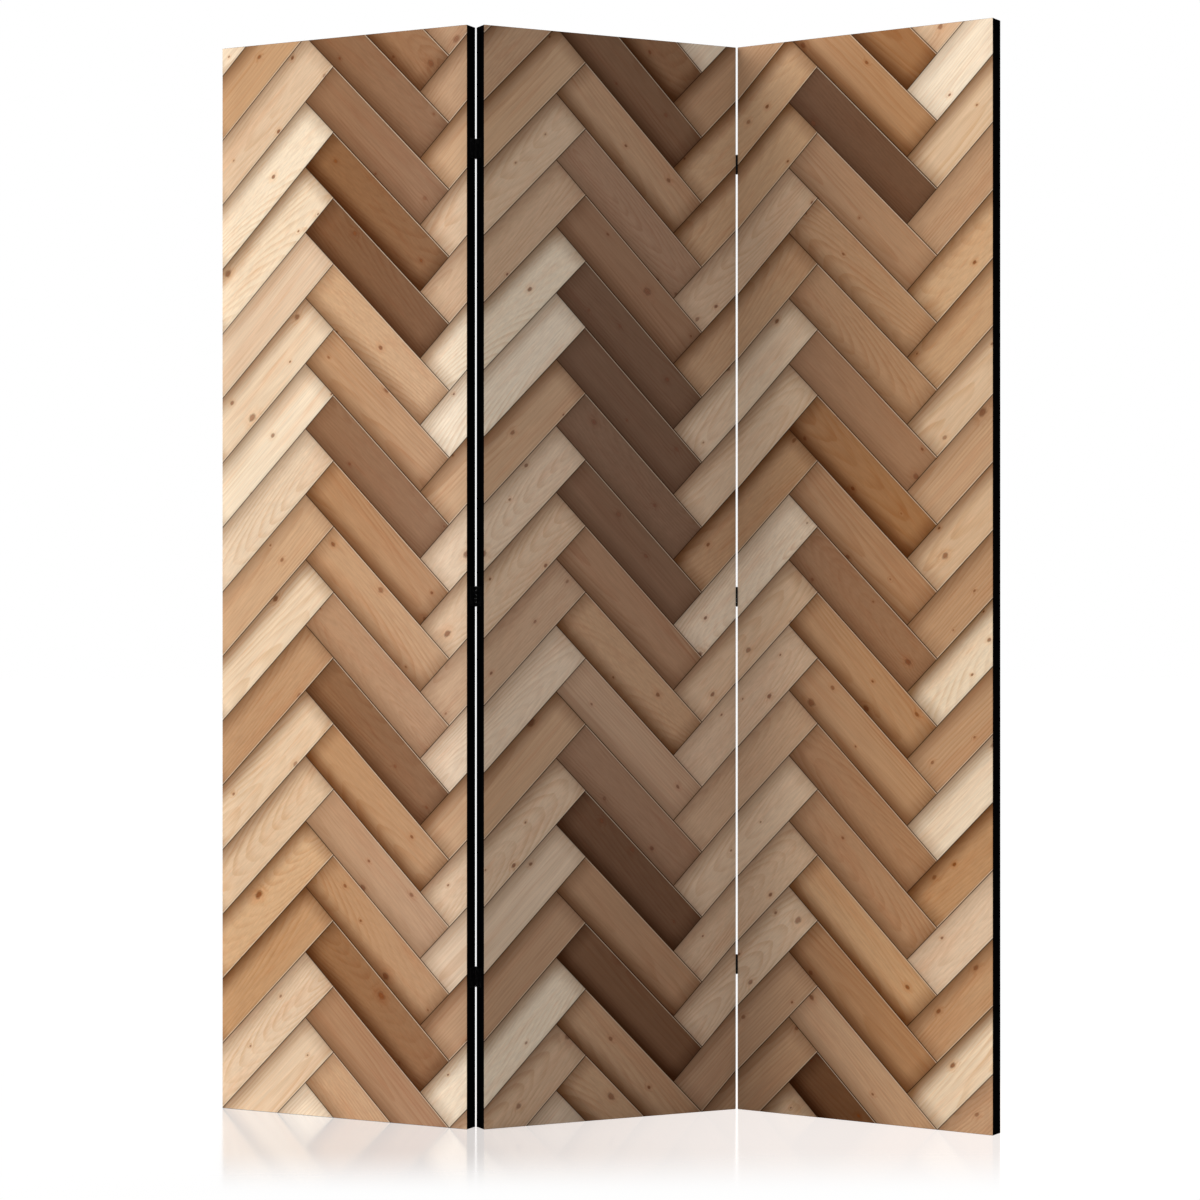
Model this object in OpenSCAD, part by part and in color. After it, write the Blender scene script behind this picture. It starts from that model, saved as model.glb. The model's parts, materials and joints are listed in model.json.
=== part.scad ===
// A folding screen of three panels. Each panel is a printed canvas stretched over a pine frame with
// mitred bridle corners, keys and crossbars. Butt hinges with rolled knuckles join the panels.
// X runs along the screen, Y from its front to its back, Z up from the floor.

/* [Panels] */
// Height of each panel
panel_h = 1720; // [1300:10:2000]
// Width of each panel
panel_w = 450; // [300:5:600]
// Thickness of each panel over its canvas and hem
panel_t = 27; // [22:0.5:40]

/* [Fold at rest] */
// Turn of the left panel from the line of the screen, in degrees
left_turn = 27; // [0:0.5:80]
// Turn of the centre panel from the line of the screen, in degrees
centre_turn = 25.5; // [0:0.5:80]
// Turn of the right panel from the line of the screen, in degrees
right_turn = 33.5; // [0:0.5:80]

/* [Canvas] */
// Thickness of the canvas
canvas_t = 0.5; // [0.3:0.1:1]
// Width of the hem that is folded onto the back
hem_w = 28; // [24:1:32]
// Layers of cloth that are tucked under the hem at each corner
tuck_layers = 2; // [1:1:3]

/* [Stretcher bars] */
// Width of a stretcher bar
bar_w = 40; // [36:1:60]
// Width of the lip that carries the canvas
lip_w = 5; // [3:0.5:10]
// Depth of the small step behind the lip
lip_step = 1; // [0.5:0.1:1.5]
// How far a bar's front has fallen away from the canvas at its inner edge
bar_fall = 3; // [2:0.1:4]
// Radius of a bar's inner front edge
inner_r = 3; // [1:0.5:4]
// Radius of a bar's outer front edge, round which the canvas turns
outer_r = 0.5; // [0.3:0.1:2]
// Bevel on a bar's inner back edge
back_bevel = 1.5; // [0.5:0.1:2]

/* [Corner joints] */
// Thickness of a corner tongue
tongue_t = 5; // [3:0.5:6]
// How far a tongue stops short of the frame's outside
tongue_short = 1; // [0.5:0.5:3]
// Gap round a tongue, a tenon or a key
joint_gap = 0.1; // [0.05:0.05:0.3]
// Length of a corner key
key_l = 38; // [32:1:44]
// How far a key is driven into its slot
key_in = 26; // [16:1:28]
// Height of a key's thick end
key_h = 9; // [6:0.5:12]
// Height of a key's thin end
key_tip = 4; // [2:0.5:5]

/* [Crossbars] */
// Height of a crossbar
cross_h = 40; // [25:1:60]
// Thickness of a crossbar
cross_t = 14; // [10:0.5:15]
// How far a crossbar lies in from the frame's back
cross_set = 4; // [2:0.5:5]
// Bevel along a crossbar's edges
cross_bevel = 2; // [0.5:0.5:3]
// Thickness of a crossbar's tenon
tenon_t = 8; // [5:0.5:9]
// Length of a crossbar's tenon
tenon_l = 12; // [8:1:16]
// Shoulder above and below a tenon
tenon_shoulder = 5; // [3:0.5:8]

/* [Staples] */
// Width of a staple over its crown
staple_w = 10; // [6:0.5:12]
// Length of a staple's legs
staple_l = 6; // [4:0.5:6.5]
// Width of the staple wire
wire_w = 1.2; // [0.8:0.1:1.4]
// Thickness of the staple wire
wire_t = 0.6; // [0.4:0.1:0.8]
// Gap round a staple's leg in its hole
wire_gap = 0.1; // [0.05:0.05:0.2]
// Largest distance from staple to staple
staple_pitch = 110; // [60:5:200]
// Distance of the first staple from the panel's end
staple_end = 75; // [72:1:120]
// Distance of a staple from the hem's edge
staple_edge = 8; // [6:0.5:12]

/* [Hinges] */
// Height of a hinge
hinge_h = 31; // [26:1:45]
// Width of a leaf from the pin's axis to its free edge
leaf_w = 19; // [17:0.5:21]
// Thickness of a leaf
leaf_t = 0.6; // [0.5:0.1:1.5]
// Radius of a leaf's free corners
leaf_r = 2; // [1:0.5:3]
// Diameter of a hinge pin
pin_d = 1; // [0.8:0.1:3]
// Running clearance round the pin, on the radius
pin_fit = 0.05; // [0.02:0.01:0.08]
// How far the pin's head and tail stand out past the bore, on the radius
pin_brim = 0.5; // [0.2:0.1:0.5]
// Height of the pin's head and of its peened tail
pin_end_t = 0.8; // [0.5:0.1:1.5]
// Gap between neighbouring knuckles
knuckle_gap = 0.2; // [0.1:0.05:0.4]
// Gap between the two leaves of a hinge when its panels stand in line
leaf_gap = 0.2; // [0.1:0.1:0.6]
// Smallest gap between the tucked corners of two panels that are folded together
fold_gap = 0.3; // [0.2:0.1:1]
// Middle of the top hinge, below the panel's top
top_hinge_drop = 190; // [120:5:300]
// Middle of the middle hinge above the floor
middle_hinge_z = 830; // [600:5:900]
// Middle of the bottom hinge above the floor
bottom_hinge_z = 235; // [120:5:300]

/* [Hinge screws] */
// Diameter of a screw's shank
screw_d = 2.8; // [2:0.1:3.2]
// Diameter of a screw's countersunk head
screw_head_d = 4.6; // [4.2:0.1:5]
// Length of a screw
screw_l = 14; // [8:0.5:14]
// Gap round a screw in its holes, on the radius
screw_gap = 0.05; // [0.02:0.01:0.1]
// How far a pilot hole runs past the tip of its screw
pilot_run = 1; // [0.5:0.5:2]
// Distance of each screw above or below the hinge's middle
screw_rise = 9; // [6:0.5:12]
// Distance of the nearer screw from the panel's face
screw_near = 6.5; // [5:0.5:8]
// Distance of the farther screw from the panel's face
screw_far = 12; // [10:0.5:13]
// Width of the cross recess in a screw's head
recess_w = 0.6; // [0.4:0.1:0.8]
// Depth of the cross recess in a screw's head
recess_depth = 0.7; // [0.4:0.1:0.9]
// Length of the cross recess over both its arms
recess_l = 2.6; // [1.6:0.1:2.8]

/* [Hidden] */

$fn = 48;
// Overshoot of a cut past the face that it opens
over = 1;

// The three panels
LEFT = 0;
CENTRE = 1;
RIGHT = 2;

// The four sides of a panel
SIDE_LEFT = 0;
SIDE_RIGHT = 1;
SIDE_BOTTOM = 2;
SIDE_TOP = 3;

// The face of a panel that a hinge's pin lies in front of
FRONT = 0;
BACK = 1;

// Barrel of a hinge: the leaf is rolled once round the pin
barrel_r = pin_d / 2 + pin_fit + leaf_t;
knuckles = 5;
knuckle_h = (hinge_h - (knuckles - 1) * knuckle_gap) / knuckles;
knuckle_pitch = knuckle_h + knuckle_gap;
centre_knuckles = [0, 2, 4];
outer_knuckles = [1, 3];
top_hinge_z = panel_h - top_hinge_drop;
hinge_zs = [bottom_hinge_z, middle_hinge_z, top_hinge_z];

// The cloth is folded double at the back of each corner
tuck_t = tuck_layers * canvas_t;

// Place of a pin's axis: half the slit between the panels beside a panel's edge, and far enough off
// its face to clear both the barrel and the tucked corners of a folded panel
half_slit = leaf_t + leaf_gap / 2;
pin_out = max(barrel_r, tuck_t + fold_gap / 2);

// The wooden frame inside the canvas
frame_t = panel_t - 2 * canvas_t;
frame_in = canvas_t + bar_w;
shoulder_t = frame_t / 2 - tongue_t;

// Each corner holds two tongues, one behind the other: the stiles' in front and the rails' behind
stile_layer = shoulder_t;
rail_layer = shoulder_t + tongue_t;

// Crossbars split the inside of the frame into equal pockets
crossbars = 2;
pocket_h = (panel_h - 2 * frame_in - crossbars * cross_h) / (crossbars + 1);
lower_cross_z = frame_in + pocket_h + cross_h / 2;
upper_cross_z = panel_h - lower_cross_z;
cross_y = panel_t - canvas_t - cross_set - cross_t;
cross_l = panel_w - 2 * frame_in;
tenon_h = cross_h - 2 * tenon_shoulder;

// Staples stand on the hem, at equal steps no longer than the pitch
staple_in = hem_w - staple_edge;
function side_length(side) = side == SIDE_LEFT || side == SIDE_RIGHT ? panel_h : panel_w;
function staple_steps(side) = ceil((side_length(side) - 2 * staple_end) / staple_pitch);
function staple_places(side) = [
    for (i = [0:staple_steps(side)])
        staple_end + i * (side_length(side) - 2 * staple_end) / staple_steps(side)
];

// Plan view: the direction that each panel's width runs in, then the chain of hinge pins
headings = [-left_turn, centre_turn, -right_turn];
function turned(p, a) = [p.x * cos(a) - p.y * sin(a), p.x * sin(a) + p.y * cos(a)];
pin_right_back = [panel_w + half_slit, panel_t + pin_out];
pin_left_back = [-half_slit, panel_t + pin_out];
pin_right_front = [panel_w + half_slit, -pin_out];
pin_left_front = [-half_slit, -pin_out];
left_corner = turned(pin_left_back, headings[CENTRE]) - turned(pin_right_back, headings[LEFT]);
right_corner = turned(pin_right_front, headings[CENTRE]) - turned(pin_left_front, headings[RIGHT]);
chain = [left_corner, [0, 0], right_corner];

// Radius of the canvas round a panel's front edges
wrap_r = outer_r + canvas_t;

// Circles that hold the plan of the screen, as X, Y and radius: each panel's two rounded front
// corners and its two sharp back corners
plan_circles = [
    for (panel = [LEFT:RIGHT], corner = [
        [wrap_r, wrap_r, wrap_r], [panel_w - wrap_r, wrap_r, wrap_r],
        [0, panel_t + tuck_t, 0], [panel_w, panel_t + tuck_t, 0]
    ])
        let (p = chain[panel] + turned([corner.x, corner.y], headings[panel]))
            [p.x, p.y, corner.z]
];

// The middle of that plan, which the origin stands under
function plan_low(i) = min([for (c = plan_circles) c[i] - c.z]);
function plan_high(i) = max([for (c = plan_circles) c[i] + c.z]);
plan_middle = [for (i = [0, 1]) (plan_low(i) + plan_high(i)) / 2];

// Stands a piece, drawn with a panel's front left bottom corner at the origin, in its panel
module on_panel(panel) {
    translate(chain[panel] - plan_middle)
        rotate(headings[panel])
            children();
}

// Turns a piece, drawn on the left side of a panel with X inwards and Z along the side, to any side
module on_side(side) {
    if (side == SIDE_LEFT) {
        children();
    } else if (side == SIDE_RIGHT) {
        translate([panel_w, 0, 0])
            mirror([1, 0, 0])
                children();
    } else if (side == SIDE_BOTTOM) {
        mirror([1, 0, -1])
            children();
    } else {
        translate([0, 0, panel_h])
            mirror([0, 0, 1])
                mirror([1, 0, -1])
                    children();
    }
}

// Repeats a piece at both ends of a side
module at_both_ends(side) {
    children();
    translate([0, 0, side_length(side)])
        mirror([0, 0, 1])
            children();
}

// Places a piece on a hinge of a panel's left side: the pin on Z, the panel in +X and +Y
module at_hinge(face, z) {
    translate([-half_slit, face == BACK ? panel_t + pin_out : -pin_out, z])
        mirror([0, face == BACK ? 1 : 0, 0])
            children();
}

function arc(middle, radius, from, to, steps) = [
    for (i = [0:steps])
        let (a = from + (to - from) * i / steps)
            middle + radius * [cos(a), sin(a)]
];

// Section of a stretcher bar: X from the outer edge inwards, Y from the front to the back
module bar_section() {
    polygon(concat(
        arc([outer_r, outer_r], outer_r, 180, 270, 4),
        [[lip_w, 0], [lip_w + lip_step, lip_step]],
        arc([bar_w - inner_r, bar_fall + inner_r], inner_r, 270, 360, 6),
        [[bar_w, frame_t - back_bevel], [bar_w - back_bevel, frame_t], [0, frame_t]]
    ));
}

// Corner region outside the mitre, from the near face to the far face of one layer of the bar
module beyond_mitre(near, far) {
    translate([0, far, 0])
        rotate([90, 0, 0])
            linear_extrude(far - near)
                polygon([[-over, -over], [bar_w + over, -over], [bar_w + over, bar_w + over]]);
}

// Side outline of a key: its thin end at the origin, and its flat edge along X
function key_height(x) = key_tip + (key_h - key_tip) * x / key_l;
module key_outline(from, to, low, gap) {
    polygon([[from, low], [to, low], [to, key_height(to) + gap], [from, key_height(from) + gap]]);
}

// Places an outline of a key against the inner edge of the neighbouring bar, in one layer
module at_key(layer, thickness) {
    translate([frame_in - key_in, canvas_t + layer + tongue_t / 2 + thickness / 2, frame_in])
        rotate([90, 0, 0])
            linear_extrude(thickness)
                children();
}

// A corner's cuts in a bar: the mitre above and below its own tongue, a slot for its neighbour's
// tongue, and a notch for the key beside that tongue
module corner_cuts(own_layer, other_layer) {
    translate([canvas_t, canvas_t, canvas_t]) {
        beyond_mitre(-over, own_layer + joint_gap);
        beyond_mitre(own_layer + tongue_t - joint_gap, frame_t + over);
        translate([-over, other_layer, -over])
            cube([bar_w + 2 * over, tongue_t, bar_w + joint_gap + over]);
        translate([-over, -over, -over])
            cube([bar_w + 2 * over, frame_t + 2 * over, tongue_short + over]);
    }
    at_key(other_layer, tongue_t)
        key_outline(-joint_gap, key_in + over, -over, joint_gap);
}

// One staple: a crown on the hem and two legs, which also cut their own holes when gap is added
module staple(gap) {
    for (leg = [-1, 1])
        translate([
            -wire_w / 2 - gap,
            panel_t - staple_l - gap,
            leg * (staple_w - wire_t) / 2 - wire_t / 2 - gap
        ])
            cube([wire_w + 2 * gap, staple_l + gap + wire_t / 2, wire_t + 2 * gap]);
}

// All the staples of one side of a panel
module side_staples(side, gap) {
    for (z = staple_places(side))
        translate([staple_in, 0, z])
            staple(gap);
}

module bar(side, own_layer, other_layer) {
    difference() {
        translate([canvas_t, canvas_t, canvas_t])
            linear_extrude(side_length(side) - 2 * canvas_t)
                bar_section();
        at_both_ends(side)
            corner_cuts(own_layer, other_layer);
        side_staples(side, wire_gap);
    }
}

// Square hole in a stile for a crossbar's tenon
module mortise(z) {
    translate([
        frame_in - tenon_l - joint_gap,
        cross_y + (cross_t - tenon_t) / 2 - joint_gap,
        z - tenon_h / 2 - joint_gap
    ])
        cube([tenon_l + joint_gap + over, tenon_t + 2 * joint_gap, tenon_h + 2 * joint_gap]);
}

// The two screws of one leaf, drawn in the hinge's own frame with their heads in the leaf
module at_screws() {
    for (place = [[screw_near, screw_rise], [screw_far, -screw_rise]])
        translate([half_slit - leaf_t, pin_out + place.x, place.y])
            rotate([0, 90, 0])
                children();
}

// Hole for a countersunk screw, turned about the screw's axis, with a gap all round
module screw_hole(gap, depth) {
    head_r = screw_head_d / 2 + gap;
    shank_r = screw_d / 2 + gap;
    rotate_extrude()
        polygon([
            [0, -gap], [head_r, -gap], [head_r, 0], [shank_r, head_r - shank_r],
            [shank_r, depth], [0, depth]
        ]);
}

module stile(side, hinge_faces) {
    on_side(side)
        difference() {
            bar(side, stile_layer, rail_layer);
            mortise(lower_cross_z);
            mortise(upper_cross_z);
            for (face = hinge_faces, z = hinge_zs)
                at_hinge(face, z)
                    at_screws()
                        screw_hole(screw_gap, screw_l + pilot_run);
        }
}

module rail(side) {
    on_side(side)
        bar(side, rail_layer, stile_layer);
}

// Section of a crossbar: X from its front to its back, Y up
module crossbar_section() {
    polygon([
        [cross_bevel, -cross_h / 2], [cross_t - cross_bevel, -cross_h / 2],
        [cross_t, cross_bevel - cross_h / 2], [cross_t, cross_h / 2 - cross_bevel],
        [cross_t - cross_bevel, cross_h / 2], [cross_bevel, cross_h / 2],
        [0, cross_h / 2 - cross_bevel], [0, cross_bevel - cross_h / 2]
    ]);
}

module crossbar(z) {
    translate([frame_in, cross_y, z]) {
        rotate([90, 0, 90])
            linear_extrude(cross_l)
                crossbar_section();
        translate([-tenon_l, (cross_t - tenon_t) / 2, -tenon_h / 2])
            cube([cross_l + 2 * tenon_l, tenon_t, tenon_h]);
    }
}

// Keys at both ends of every bar
module corner_keys() {
    for (side = [SIDE_LEFT:SIDE_TOP])
        on_side(side)
            at_both_ends(side)
                at_key(side < SIDE_BOTTOM ? rail_layer : stile_layer, tongue_t - 2 * joint_gap)
                    key_outline(0, key_l, 0, 0);
}

// Section across a stretched panel, with its two front edges rounded
module wrap_section(width, depth, radius) {
    polygon(concat(
        arc([radius, radius], radius, 180, 270, 4),
        arc([width - radius, radius], radius, 270, 360, 4),
        [[width, depth], [0, depth]]
    ));
}

// One direction of a panel's block, drawn from the side that it starts at
module wrap_run(side, inset, radius) {
    across = side == SIDE_LEFT ? panel_w : panel_h;
    on_side(side)
        translate([inset, inset, inset])
            linear_extrude(side_length(side) - 2 * inset)
                wrap_section(across - 2 * inset, panel_t - 2 * inset, radius);
}

// A panel's whole block, rounded at the front along all four edges
module wrap_block(inset, radius) {
    intersection() {
        wrap_run(SIDE_LEFT, inset, radius);
        wrap_run(SIDE_BOTTOM, inset, radius);
    }
}

// Extra layers at the back of a corner, where the rail's hem is folded over the stile's hem
module corner_tuck() {
    translate([0, panel_t + tuck_t, 0])
        rotate([90, 0, 0])
            linear_extrude(tuck_t + canvas_t / 2)
                polygon([[0, 0], [hem_w, 0], [hem_w, hem_w]]);
}

// The canvas: a front, four returns round the edges and a hem on the back with tucked corners, and
// the holes that its staples and the hinges' screws have made
module canvas(left_faces, right_faces) {
    for (side = [SIDE_LEFT, SIDE_RIGHT])
        on_side(side)
            at_both_ends(side)
                corner_tuck();
    difference() {
        wrap_block(0, wrap_r);
        wrap_block(canvas_t, outer_r);
        translate([hem_w, panel_t / 2, hem_w])
            cube([panel_w - 2 * hem_w, panel_t, panel_h - 2 * hem_w]);
        for (side = [SIDE_LEFT:SIDE_TOP])
            on_side(side)
                side_staples(side, wire_gap);
        canvas_screw_holes(SIDE_LEFT, left_faces);
        canvas_screw_holes(SIDE_RIGHT, right_faces);
    }
}

module canvas_screw_holes(side, hinge_faces) {
    on_side(side)
        for (face = hinge_faces, z = hinge_zs)
            at_hinge(face, z)
                at_screws()
                    screw_hole(2 * screw_gap, leaf_t + canvas_t + over);
}

module staples() {
    for (side = [SIDE_LEFT:SIDE_TOP])
        on_side(side)
            for (z = staple_places(side))
                translate([staple_in, 0, z]) {
                    staple(0);
                    translate([-wire_w / 2, panel_t, -staple_w / 2])
                        cube([wire_w, wire_t, staple_w]);
                }
}

// Outline of a leaf's plate: X away from the pin, Y up, with two round free corners
module leaf_outline() {
    translate([0, -hinge_h / 2])
        square([leaf_w - leaf_r, hinge_h]);
    translate([0, leaf_r - hinge_h / 2])
        square([leaf_w, hinge_h - 2 * leaf_r]);
    for (end = [-1, 1])
        translate([leaf_w - leaf_r, end * (hinge_h / 2 - leaf_r)])
            circle(leaf_r);
}

function knuckle_z(i) = i * knuckle_pitch - hinge_h / 2;

// A leaf rolled into its own knuckles, and cut away round those of the other leaf
module leaf(own, other) {
    notch_r = barrel_r + 2 * knuckle_gap;
    difference() {
        union() {
            translate([half_slit - leaf_t, 0, 0])
                rotate([90, 0, 90])
                    linear_extrude(leaf_t)
                        leaf_outline();
            for (i = own)
                translate([0, 0, knuckle_z(i)])
                    cylinder(r = barrel_r, h = knuckle_h);
        }
        for (i = other)
            translate([-notch_r, -notch_r, knuckle_z(i) - knuckle_gap])
                cube([2 * notch_r, 2 * notch_r, knuckle_h + 2 * knuckle_gap]);
        translate([0, 0, -hinge_h])
            cylinder(r = pin_d / 2 + pin_fit, h = 2 * hinge_h);
        at_screws()
            screw_hole(screw_gap, leaf_t + over);
    }
}

module screw() {
    head_r = screw_head_d / 2;
    shank_r = screw_d / 2;
    difference() {
        rotate_extrude()
            polygon([
                [0, 0], [head_r, 0], [shank_r, head_r - shank_r],
                [shank_r, screw_l - screw_d], [0, screw_l]
            ]);
        for (turn = [0, 90])
            rotate(turn)
                translate([-recess_l / 2, -recess_w / 2, -over])
                    cube([recess_l, recess_w, over + recess_depth]);
    }
}

module leaf_screws(side, face) {
    on_side(side)
        for (z = hinge_zs)
            at_hinge(face, z)
                at_screws()
                    screw();
}

// The pin's head rests on the top knuckle, and its tail is peened under the bottom one
module hinge_pin() {
    brim_r = pin_d / 2 + pin_fit + pin_brim;
    cylinder(r = pin_d / 2, h = hinge_h + 2 * pin_end_t, center = true);
    translate([0, 0, hinge_h / 2])
        cylinder(r1 = brim_r, r2 = pin_d / 2, h = pin_end_t);
    translate([0, 0, -hinge_h / 2 - pin_end_t])
        cylinder(r1 = pin_d / 2, r2 = brim_r, h = pin_end_t);
}

module frame_wood() {
    color([0.87, 0.72, 0.50])
        children();
}

module key_wood() {
    color([0.80, 0.62, 0.42])
        children();
}

module printed_canvas() {
    color([0.78, 0.60, 0.40])
        children();
}

module black_steel() {
    color([0.08, 0.08, 0.08])
        children();
}

module bright_steel() {
    color([0.72, 0.72, 0.74])
        children();
}

module panel_stile(panel, side, hinge_faces) {
    frame_wood()
        on_panel(panel)
            stile(side, hinge_faces);
}

module panel_rail(panel, side) {
    frame_wood()
        on_panel(panel)
            rail(side);
}

module panel_crossbar(panel, z) {
    frame_wood()
        on_panel(panel)
            crossbar(z);
}

module panel_keys(panel) {
    key_wood()
        on_panel(panel)
            corner_keys();
}

module panel_canvas(panel, left_faces, right_faces) {
    printed_canvas()
        on_panel(panel)
            canvas(left_faces, right_faces);
}

module panel_staples(panel) {
    bright_steel()
        on_panel(panel)
            staples();
}

module panel_leaf(panel, side, face, z, own, other) {
    black_steel()
        on_panel(panel)
            on_side(side)
                at_hinge(face, z)
                    leaf(own, other);
}

module panel_screws(panel, side, face) {
    black_steel()
        on_panel(panel)
            leaf_screws(side, face);
}

module centre_pin(side, face, z) {
    black_steel()
        on_panel(CENTRE)
            on_side(side)
                at_hinge(face, z)
                    hinge_pin();
}

// The left panel
module left_outer_stile() panel_stile(LEFT, SIDE_LEFT, []);
module left_hinge_stile() panel_stile(LEFT, SIDE_RIGHT, [BACK]);
module left_top_rail() panel_rail(LEFT, SIDE_TOP);
module left_bottom_rail() panel_rail(LEFT, SIDE_BOTTOM);
module left_upper_crossbar() panel_crossbar(LEFT, upper_cross_z);
module left_lower_crossbar() panel_crossbar(LEFT, lower_cross_z);
module left_corner_keys() panel_keys(LEFT);
module left_canvas() panel_canvas(LEFT, [], [BACK]);
module left_staples() panel_staples(LEFT);

// The centre panel
module centre_left_stile() panel_stile(CENTRE, SIDE_LEFT, [BACK]);
module centre_right_stile() panel_stile(CENTRE, SIDE_RIGHT, [FRONT]);
module centre_top_rail() panel_rail(CENTRE, SIDE_TOP);
module centre_bottom_rail() panel_rail(CENTRE, SIDE_BOTTOM);
module centre_upper_crossbar() panel_crossbar(CENTRE, upper_cross_z);
module centre_lower_crossbar() panel_crossbar(CENTRE, lower_cross_z);
module centre_corner_keys() panel_keys(CENTRE);
module centre_canvas() panel_canvas(CENTRE, [BACK], [FRONT]);
module centre_staples() panel_staples(CENTRE);

// The right panel
module right_hinge_stile() panel_stile(RIGHT, SIDE_LEFT, [FRONT]);
module right_outer_stile() panel_stile(RIGHT, SIDE_RIGHT, []);
module right_top_rail() panel_rail(RIGHT, SIDE_TOP);
module right_bottom_rail() panel_rail(RIGHT, SIDE_BOTTOM);
module right_upper_crossbar() panel_crossbar(RIGHT, upper_cross_z);
module right_lower_crossbar() panel_crossbar(RIGHT, lower_cross_z);
module right_corner_keys() panel_keys(RIGHT);
module right_canvas() panel_canvas(RIGHT, [FRONT], []);
module right_staples() panel_staples(RIGHT);

// Hinges between the left panel and the centre panel, with their pins at the back
module left_hinge_outer_leaf(z)
    panel_leaf(LEFT, SIDE_RIGHT, BACK, z, outer_knuckles, centre_knuckles);
module left_hinge_centre_leaf(z)
    panel_leaf(CENTRE, SIDE_LEFT, BACK, z, centre_knuckles, outer_knuckles);
module left_top_hinge_outer_leaf() left_hinge_outer_leaf(top_hinge_z);
module left_middle_hinge_outer_leaf() left_hinge_outer_leaf(middle_hinge_z);
module left_bottom_hinge_outer_leaf() left_hinge_outer_leaf(bottom_hinge_z);
module left_top_hinge_centre_leaf() left_hinge_centre_leaf(top_hinge_z);
module left_middle_hinge_centre_leaf() left_hinge_centre_leaf(middle_hinge_z);
module left_bottom_hinge_centre_leaf() left_hinge_centre_leaf(bottom_hinge_z);
module left_top_hinge_pin() centre_pin(SIDE_LEFT, BACK, top_hinge_z);
module left_middle_hinge_pin() centre_pin(SIDE_LEFT, BACK, middle_hinge_z);
module left_bottom_hinge_pin() centre_pin(SIDE_LEFT, BACK, bottom_hinge_z);
module left_outer_leaf_screws() panel_screws(LEFT, SIDE_RIGHT, BACK);
module left_centre_leaf_screws() panel_screws(CENTRE, SIDE_LEFT, BACK);

// Hinges between the centre panel and the right panel, with their pins at the front
module right_hinge_outer_leaf(z)
    panel_leaf(RIGHT, SIDE_LEFT, FRONT, z, outer_knuckles, centre_knuckles);
module right_hinge_centre_leaf(z)
    panel_leaf(CENTRE, SIDE_RIGHT, FRONT, z, centre_knuckles, outer_knuckles);
module right_top_hinge_outer_leaf() right_hinge_outer_leaf(top_hinge_z);
module right_middle_hinge_outer_leaf() right_hinge_outer_leaf(middle_hinge_z);
module right_bottom_hinge_outer_leaf() right_hinge_outer_leaf(bottom_hinge_z);
module right_top_hinge_centre_leaf() right_hinge_centre_leaf(top_hinge_z);
module right_middle_hinge_centre_leaf() right_hinge_centre_leaf(middle_hinge_z);
module right_bottom_hinge_centre_leaf() right_hinge_centre_leaf(bottom_hinge_z);
module right_top_hinge_pin() centre_pin(SIDE_RIGHT, FRONT, top_hinge_z);
module right_middle_hinge_pin() centre_pin(SIDE_RIGHT, FRONT, middle_hinge_z);
module right_bottom_hinge_pin() centre_pin(SIDE_RIGHT, FRONT, bottom_hinge_z);
module right_centre_leaf_screws() panel_screws(CENTRE, SIDE_RIGHT, FRONT);
module right_outer_leaf_screws() panel_screws(RIGHT, SIDE_LEFT, FRONT);

left_outer_stile();
left_hinge_stile();
left_top_rail();
left_bottom_rail();
left_upper_crossbar();
left_lower_crossbar();
left_corner_keys();
left_canvas();
left_staples();
centre_left_stile();
centre_right_stile();
centre_top_rail();
centre_bottom_rail();
centre_upper_crossbar();
centre_lower_crossbar();
centre_corner_keys();
centre_canvas();
centre_staples();
right_hinge_stile();
right_outer_stile();
right_top_rail();
right_bottom_rail();
right_upper_crossbar();
right_lower_crossbar();
right_corner_keys();
right_canvas();
right_staples();
left_top_hinge_outer_leaf();
left_middle_hinge_outer_leaf();
left_bottom_hinge_outer_leaf();
left_top_hinge_centre_leaf();
left_middle_hinge_centre_leaf();
left_bottom_hinge_centre_leaf();
left_top_hinge_pin();
left_middle_hinge_pin();
left_bottom_hinge_pin();
right_top_hinge_outer_leaf();
right_middle_hinge_outer_leaf();
right_bottom_hinge_outer_leaf();
right_top_hinge_centre_leaf();
right_middle_hinge_centre_leaf();
right_bottom_hinge_centre_leaf();
right_top_hinge_pin();
right_middle_hinge_pin();
right_bottom_hinge_pin();
left_outer_leaf_screws();
left_centre_leaf_screws();
right_centre_leaf_screws();
right_outer_leaf_screws();
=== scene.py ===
# %% [markdown]
# # A folding screen of three stretched canvases
# The screen is three pine frames with printed canvas pulled over them, joined by six
# small hinges. The packed CAD model brings the wood, the hinges, the screws and the
# staples. Cloth is soft, so its plain CAD solids are replaced here by canvases that are
# modelled as cloth, and every surface gets its finish.

# %% Load the packed model
import json
import math

import bmesh
import bpy
from mathutils import Matrix, Vector


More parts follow.
